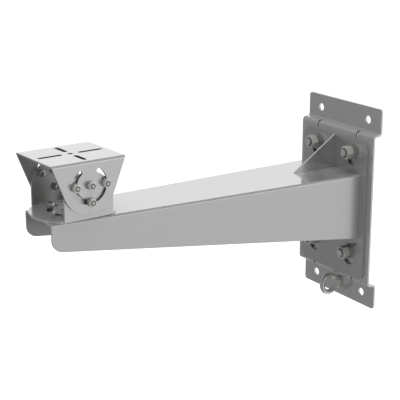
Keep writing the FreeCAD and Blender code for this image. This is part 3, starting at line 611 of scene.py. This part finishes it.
def buildSetOut():
    # puts the pattern on every point, turned by the point's own "turn"
    tree = bpy.data.node_groups.new("setOut", "GeometryNodeTree")
    groupSocket(tree, "Geometry", "INPUT", "NodeSocketGeometry")
    groupSocket(tree, "Pattern", "INPUT", "NodeSocketObject")
    groupSocket(tree, "Metal", "INPUT", "NodeSocketMaterial")
    groupSocket(tree, "ThreadShade", "INPUT", "NodeSocketMaterial")
    groupSocket(tree, "Geometry", "OUTPUT", "NodeSocketGeometry")
    link = tree.links.new
    source = tree.nodes.new("NodeGroupInput")
    result = tree.nodes.new("NodeGroupOutput")
    info = tree.nodes.new("GeometryNodeObjectInfo")
    link(source.outputs["Pattern"], info.inputs["Object"])
    turn = addNode(tree, "GeometryNodeInputNamedAttribute", data_type="FLOAT_VECTOR")
    turn.inputs["Name"].default_value = "turn"
    toRotation = tree.nodes.new("FunctionNodeEulerToRotation")
    link(turn.outputs["Attribute"], toRotation.inputs[0])
    setOn = tree.nodes.new("GeometryNodeInstanceOnPoints")
    link(source.outputs["Geometry"], setOn.inputs["Points"])
    link(info.outputs["Geometry"], setOn.inputs["Instance"])
    link(toRotation.outputs[0], setOn.inputs["Rotation"])
    realize = tree.nodes.new("GeometryNodeRealizeInstances")
    link(setOn.outputs[0], realize.inputs[0])
    paint = tree.nodes.new("GeometryNodeSetMaterial")
    link(realize.outputs[0], paint.inputs["Geometry"])
    link(source.outputs["Metal"], paint.inputs["Material"])
    # painted shade: the marked thread and bore strips take the darker threadShadeSteel
    grooved = addNode(tree, "GeometryNodeInputNamedAttribute", data_type="BOOLEAN")
    grooved.inputs["Name"].default_value = "groove"
    darken = tree.nodes.new("GeometryNodeSetMaterial")
    link(paint.outputs[0], darken.inputs["Geometry"])
    link(grooved.outputs["Attribute"], darken.inputs["Selection"])
    link(source.outputs["ThreadShade"], darken.inputs["Material"])
    link(darken.outputs[0], result.inputs["Geometry"])
    return tree


setOutTree = buildSetOut()


def setOut(node, pattern, places, body, metal="fastenerSteel"):
    mesh = bpy.data.meshes.new("points")
    mesh.from_pydata([place.translation[:] for place in places], [], [])
    turns = mesh.attributes.new("turn", "FLOAT_VECTOR", "POINT")
    for i, place in enumerate(places):
        turns.data[i].vector = place.to_euler()[:]
    work = addWork(mesh)
    modifier = work.modifiers.new("setOut", "NODES")
    modifier.node_group = setOutTree
    values = {"Pattern": pattern, "Metal": metals[metal], "ThreadShade": metals["threadShadeSteel"]}
    for item in setOutTree.interface.items_tree:
        if item.in_out == "INPUT" and item.name in values:
            modifier[item.identifier] = values[item.name]
    piece = applyModifiers(work, node + "Set")
    oldMesh = pattern.data
    bpy.data.objects.remove(pattern)
    bpy.data.meshes.remove(oldMesh)
    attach(piece, body)
    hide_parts(node)


def placeAt(x, y, z, turn):
    return Matrix.Translation(Vector((x, y, z)) * mm) @ Euler(turn).to_matrix().to_4x4()


def spun(place, spin):
    return place @ Matrix.Rotation(math.radians(spin), 4, "Z")


awayFromWall = (math.pi / 2, 0, 0)
upwards = (0, 0, 0)
sides = ((1, (0, math.pi / 2, 0)), (-1, (0, -math.pi / 2, 0)))     # to the right and to the left
slits = (40, 200, 115, 310)     # where each spring washer's cut happens to point

flangeBolts = {"size": 12, "pitch": 1.75, "flats": 18, "head": 7.5, "length": 25, "thread": 4.0}
flangeWashers = {"rim": 24, "bore": 12.2, "height": 2.5}
flangeSprings = {"rim": 21, "bore": 12.2, "height": 2.5, "gap": 7, "slant": 14}
flangeNuts = {"flats": 18, "bore": 12.2, "height": 10.8, "sink": 1.1}
flangeSpots = [(x, z) for x in (-42.5, 42.5) for z in (87, -70.3)]
flangeStack = {"bolt": -13, "washer": -20, "spring": -22.5, "nut": -25}      # where each starts, in Y


def onFlange(part, spins=(0, 0, 0, 0)):
    return [spun(placeAt(x, flangeStack[part], z, awayFromWall), spin)
            for (x, z), spin in zip(flangeSpots, spins)]


setOut("flange_bolts", hexBolt("flangeBolt", flangeBolts), onFlange("bolt"), "arm")
# painted shade: the washers take the darker shadedFastenerSteel
setOut("flange_washers", flatWasher("flangeWasher", flangeWashers), onFlange("washer"), "arm", "shadedFastenerSteel")
setOut("flange_spring_washers", springWasher("flangeSpring", flangeSprings), onFlange("spring", slits),
       "arm", "shadedFastenerSteel")
setOut("flange_nuts", hexNut("flangeNut", flangeNuts), onFlange("nut"), "arm")

panBolts = {"size": 6, "pitch": 1.0, "flats": 10, "head": 4, "length": 16.4, "thread": 5.0}
smallNuts = {"flats": 10, "bore": 6.2, "height": 5, "sink": 0.75}
smallWashers = {"rim": 12, "bore": 6.2, "height": 1.57, "clear": 0.03}    # clear of the sheet that turns
smallSprings = {"rim": 11, "bore": 6.2, "height": 1.6, "gap": 9, "slant": 16}
panStack = {"bolt": 52, "washer": 58, "spring": 59.6, "nut": 61.2}           # where each starts, in Z
offset = 30 / math.sqrt(2)
panSpots = [(x, y + panReach) for x in (-offset, offset) for y in (-offset, offset)]


def onBase(z, spins=(0, 0, 0, 0)):
    return [spun(placeAt(x, y, z, upwards), spin) for (x, y), spin in zip(panSpots, spins)]


setOut("pan_bolts", hexBolt("panBolt", panBolts), onBase(panStack["bolt"]), "arm")
setOut("pan_washers", flatWasher("panWasher", smallWashers),
       onBase(panStack["washer"] + smallWashers["clear"]), "arm", "shadedFastenerSteel")
setOut("pan_spring_washers", springWasher("panSpring", smallSprings), onBase(panStack["spring"], slits),
       "arm", "shadedFastenerSteel")
setOut("pan_nuts", hexNut("panNut", smallNuts), onBase(panStack["nut"]), "arm")

pivotBolt = {"size": 8, "pitch": 1.25, "flats": 13, "head": 5.3, "length": 18.1, "thread": 4.0}
pivotWasher = {"rim": 16, "bore": 8.2, "height": 1.6}
pivotSpring = {"rim": 14.8, "bore": 8.2, "height": 2, "gap": 8, "slant": 15}
pivotNut = {"flats": 13, "bore": 8.2, "height": 6.5, "sink": 0.6}
pivotStack = {"bolt": 52, "washer": 58, "spring": 59.6, "nut": 61.6}


def onPivot(part, turn=upwards):
    return [placeAt(0, panReach, pivotStack[part], turn)]


setOut("pan_pivot_bolt", hexBolt("pivotBolt", pivotBolt), onPivot("bolt"), "arm")
setOut("pan_pivot_washer", flatWasher("pivotWasher", pivotWasher), onPivot("washer"), "arm", "shadedFastenerSteel")
setOut("pan_pivot_spring_washer", springWasher("pivotSpring", pivotSpring), onPivot("spring", (0, 0, 2.2)),
       "arm", "shadedFastenerSteel")
setOut("pan_pivot_nut", hexNut("pivotNut", pivotNut), onPivot("nut"), "arm")

tiltBolts = {"size": 6, "pitch": 1.0, "headSize": 10, "head": 6, "socket": 5, "socketDepth": 3,
             "length": 15.1, "thread": 3.0}
tiltStack = {"bolt": 43.1, "washer": 49.4, "spring": 51.0, "nut": 52.6}      # where each starts, in X
tiltSlits = (70, 250, 160, 20, 330, 130)
onFlat = (30,) * 6              # the nuts stand on a flat
tiltGroups = {
    "tilt_pivot": {"room": 0.0, "spots": [(0, 47.5)]},
    "tilt_clamp": {"room": 0.05, "spots": [(22.5, 47.5), (-22.5, 47.5), (0, 25)]},
}


def onHead(spots, x, spins=(0, 0, 0, 0, 0, 0)):
    rows = [(side, turn, y, z) for side, turn in sides for y, z in spots]
    return [spun(headPlace @ placeAt(side * x, y, z, turn), spin)
            for (side, turn, y, z), spin in zip(rows, spins)]


for group, settings in tiltGroups.items():
    spots, room = settings["spots"], settings["room"]
    bolts = dict(tiltBolts, length=tiltBolts["length"] + room)
    # painted shade: the socket bolts take the darker shadedFastenerSteel as well
    setOut(group + "_bolts", socketBolt(group + "Bolt", bolts), onHead(spots, tiltStack["bolt"]),
           "yoke", "shadedFastenerSteel")
    setOut(group + "_washers", flatWasher(group + "Washer", smallWashers),
           onHead(spots, tiltStack["washer"] + room + smallWashers["clear"]), "yoke", "shadedFastenerSteel")
    setOut(group + "_spring_washers", springWasher(group + "Spring", smallSprings),
           onHead(spots, tiltStack["spring"] + room, tiltSlits), "yoke", "shadedFastenerSteel")
    setOut(group + "_nuts", hexNut(group + "Nut", smallNuts),
           onHead(spots, tiltStack["nut"] + room, onFlat), "yoke")
print("fasteners set out")


# eye bolt: ring and collar forged in one
# the profile is (radius, Y) from the thread that goes into the tab to the collar's narrower top
eye = {"ring": 14, "wire": 4, "centre": (0, -21, -136.2), "turns": 96, "sides": 32, "steps": 48,
       "profile": [(4, 0), (4, -3), (10, -3), (10, -7.2), (8.4, -9), (5.4, -11)],
       "grain": 0.45, "blends": 5, "blend": 0.5}


def ringLoops(bm):
    cx, cy, cz = eye["centre"]
    loops = []
    for i in range(eye["turns"]):
        a = 2 * math.pi * i / eye["turns"]
        loop = []
        for j in range(eye["sides"]):
            b = 2 * math.pi * j / eye["sides"]
            radius = eye["ring"] + eye["wire"] * math.cos(b)
            spot = (cx + eye["wire"] * math.sin(b), cy + radius * math.cos(a), cz + radius * math.sin(a))
            loop.append(bm.verts.new(Vector(spot) * mm))
        loops.append(loop)
    return loops


def collarLoops(bm):
    angles = [2 * math.pi * i / eye["steps"] for i in range(eye["steps"])]
    return [[bm.verts.new(Vector((radius * math.cos(a), y, eye["centre"][2] + radius * math.sin(a))) * mm)
             for a in angles] for radius, y in eye["profile"]]


def forgeEye():
    bm = bmesh.new()
    loops = ringLoops(bm)
    for first, last in zip(loops, loops[1:] + loops[:1]):
        joinLoops(bm, first, last)
    loops = collarLoops(bm)
    for first, last in zip(loops, loops[1:]):
        joinLoops(bm, first, last)
    bm.faces.new(list(reversed(loops[0])))
    bm.faces.new(loops[-1])
    bmesh.ops.recalc_face_normals(bm, faces=bm.faces)
    mesh = bpy.data.meshes.new("eyeRough")
    bm.to_mesh(mesh)
    bm.free()
    mesh.materials.append(metals["forgedSteel"])
    work = addWork(mesh)
    remesh = work.modifiers.new("forge", "REMESH")
    remesh.mode = "VOXEL"
    remesh.voxel_size = eye["grain"] * mm
    remesh.use_smooth_shade = True
    smooth = work.modifiers.new("blend", "SMOOTH")
    smooth.iterations = eye["blends"]
    smooth.factor = eye["blend"]
    piece = applyModifiers(work, "eyeForging")
    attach(piece, "arm")
    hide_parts("eye_bolt")


forgeEye()
print("eye bolt forged")
